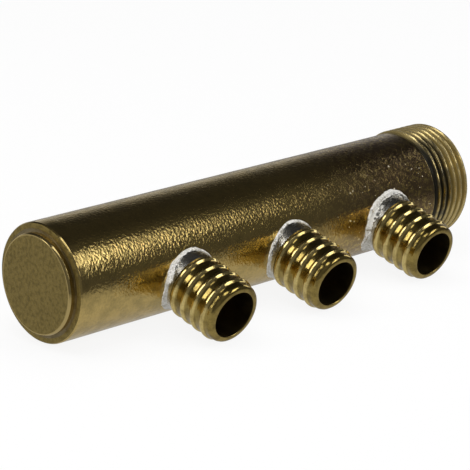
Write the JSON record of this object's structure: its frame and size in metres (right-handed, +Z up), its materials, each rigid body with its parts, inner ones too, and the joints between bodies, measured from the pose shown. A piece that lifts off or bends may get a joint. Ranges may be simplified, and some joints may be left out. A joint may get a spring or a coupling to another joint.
{
  "type": "underfloor heating manifold",
  "caption": "Brass distribution bar for underfloor heating: a tube plugged at one end and threaded at the other, with ribbed hose outlets soldered along one side.",
  "frame": {"origin": "centre of the inlet's end face, on the barrel's axis", "axes": "+X along the barrel and out of the threaded inlet; +Z up as the bar lies on its barrel and its outlets; the outlets point to -Y and dip below the horizontal"},
  "size_m": [0.1503, 0.0509, 0.0332],
  "materials": {
    "tube_brass": "bright, finely hammered",
    "plug_brass": "matt, dulled by soldering heat",
    "outlet_brass": "turned and polished",
    "solder": "bright soft solder"
  },
  "bodies": {
    "root": {"barrel": "tube_brass", "end_plug": "plug_brass", "outlet_1": "outlet_brass", "outlet_2": "outlet_brass", "outlet_3": "outlet_brass", "outlet_solder_1": "solder", "outlet_solder_2": "solder", "outlet_solder_3": "solder", "plug_solder": "solder"}
  },
  "joints": []
}
